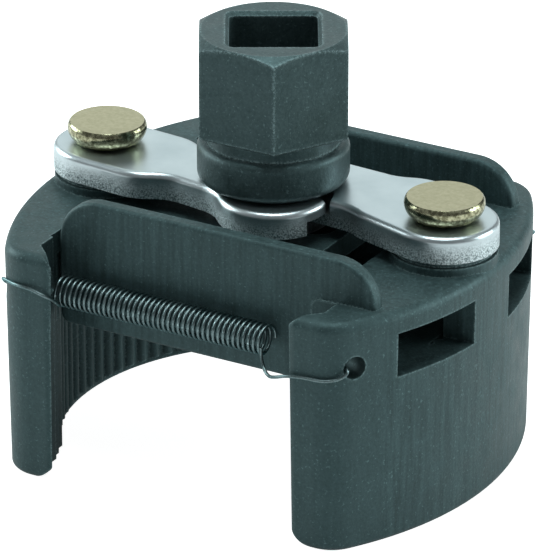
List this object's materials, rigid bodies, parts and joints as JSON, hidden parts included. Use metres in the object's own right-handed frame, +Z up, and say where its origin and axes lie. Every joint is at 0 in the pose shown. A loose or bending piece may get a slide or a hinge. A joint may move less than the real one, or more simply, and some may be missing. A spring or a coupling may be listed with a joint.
{
  "type": "oil filter wrench",
  "caption": "Two-jaw adjustable oil filter wrench: curved ribbed jaws on a sliding rail, pulled in by two links from a square socket with an outer hexagon.",
  "frame": {"origin": "on the drive axis, at the level of the jaws' lower edges, with the jaws closed", "axes": "+Z up along the drive axis to the square socket, +X towards the jaw that carries the side rails"},
  "size_m": [0.0734, 0.0622, 0.0655],
  "materials": {
    "jaw_casting": "grey-green phosphate coat, fine grain",
    "dark_steel": "dark phosphated steel, worn bright at edges",
    "bright_plate": "bright zinc plate over stamped steel",
    "yellow_plate": "pale yellow passivated zinc plate, satin",
    "spring_wire": "oiled spring wire",
    "plain_steel": "turned and ground steel, lightly oiled"
  },
  "bodies": {
    "right_jaw": {"jaw_right": "jaw_casting", "rivet_right": "yellow_plate", "pivot_washer_right": "dark_steel"},
    "left_jaw": {"jaw_left": "jaw_casting", "rivet_left": "yellow_plate", "pivot_washer_left": "dark_steel", "spring_front": "spring_wire", "spring_rear": "spring_wire"},
    "carrier": {"slide_block": "plain_steel"},
    "drive": {"drive_socket": "dark_steel", "crank_pin_front": "plain_steel", "crank_pin_rear": "plain_steel", "crank_disc": "plain_steel", "spindle_washer": "plain_steel", "retaining_ring": "plain_steel"},
    "left_link": {"link_left": "bright_plate"},
    "right_link": {"link_right": "bright_plate"}
  },
  "joints": [
    {"name": "jaw_slide", "type": "slide", "parent": "right_jaw", "child": "left_jaw", "axis": [-1, 0, 0], "range_m": [0, 0.0147], "stiffness_N_per_m": 540, "springref_m": -0.01, "deforming": ["spring_front", "spring_rear"]},
    {"name": "carrier_slide", "type": "slide", "parent": "right_jaw", "child": "carrier", "axis": [-1, 0, 0], "range_m": [0, 0.00735]},
    {"name": "drive_turn", "type": "hinge", "parent": "carrier", "child": "drive", "pos_m": [0, 0, 0.03], "axis": [0, 0, -1], "range_deg": [0, 90]},
    {"name": "left_link_swing", "type": "hinge", "parent": "left_jaw", "child": "left_link", "pos_m": [-0.0284, 0, 0.04], "axis": [0, 0, 1], "range_deg": [0, 2]},
    {"name": "right_link_swing", "type": "hinge", "parent": "right_jaw", "child": "right_link", "pos_m": [0.0284, 0, 0.04], "axis": [0, 0, 1], "range_deg": [0, 2]}
  ],
  "couplings": [
    {"joint": "drive_turn", "follows": "jaw_slide", "rad_per_m": 106.8},
    {"joint": "carrier_slide", "follows": "jaw_slide", "ratio": 0.5},
    {"joint": "left_link_swing", "follows": "jaw_slide", "rad_per_m": 2.22},
    {"joint": "right_link_swing", "follows": "jaw_slide", "rad_per_m": 2.22}
  ]
}
